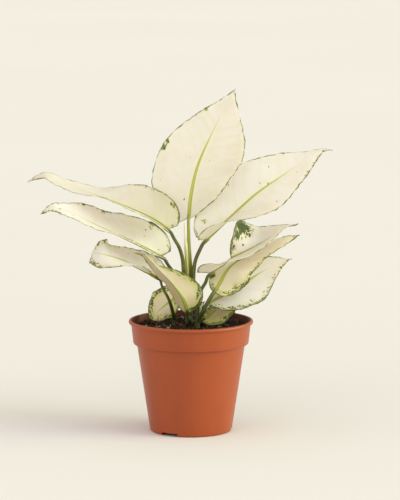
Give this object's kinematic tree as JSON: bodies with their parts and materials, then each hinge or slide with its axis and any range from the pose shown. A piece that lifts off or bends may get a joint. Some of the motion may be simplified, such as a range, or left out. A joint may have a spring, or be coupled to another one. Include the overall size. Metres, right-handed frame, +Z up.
{
  "type": "potted aglaonema",
  "caption": "Potted aglaonema: cream leaves with green-mottled edges on green stalks, a clump of short canes in soil, in a round terracotta-coloured plastic nursery pot.",
  "frame": {"origin": "centre of the flat disc under the pot, on the pot's axis, where the pot stands", "axes": "+Z up along the pot's axis, -Y towards the front of the plant, +X to the right seen from the front"},
  "size_m": [0.2963, 0.12, 0.328],
  "materials": {
    "pot": "satin",
    "soil": "matte",
    "cane": "matte",
    "stalk": "satin",
    "new_leaf": "satin",
    "blade": "satin"
  },
  "bodies": {
    "root": {"pot": "pot", "soil": "soil", "cane_main": "cane", "cane_left": "cane", "cane_right": "cane", "stalk_top": "stalk", "blade_top": "blade", "stalk_upper_right": "stalk", "blade_upper_right": "blade", "stalk_upper_left": "stalk", "blade_upper_left": "blade", "stalk_middle_left": "stalk", "blade_middle_left": "blade", "stalk_lower_left": "stalk", "blade_lower_left": "blade", "stalk_front": "stalk", "blade_front": "blade", "stalk_low_left": "stalk", "blade_low_left": "blade", "stalk_right_patch": "stalk", "blade_right_patch": "blade", "stalk_right_middle": "stalk", "blade_right_middle": "blade", "stalk_right_low": "stalk", "blade_right_low": "blade", "stalk_right_front": "stalk", "blade_right_front": "blade", "stalk_small_middle": "stalk", "blade_small_middle": "blade", "new_leaf": "new_leaf"}
  },
  "joints": []
}
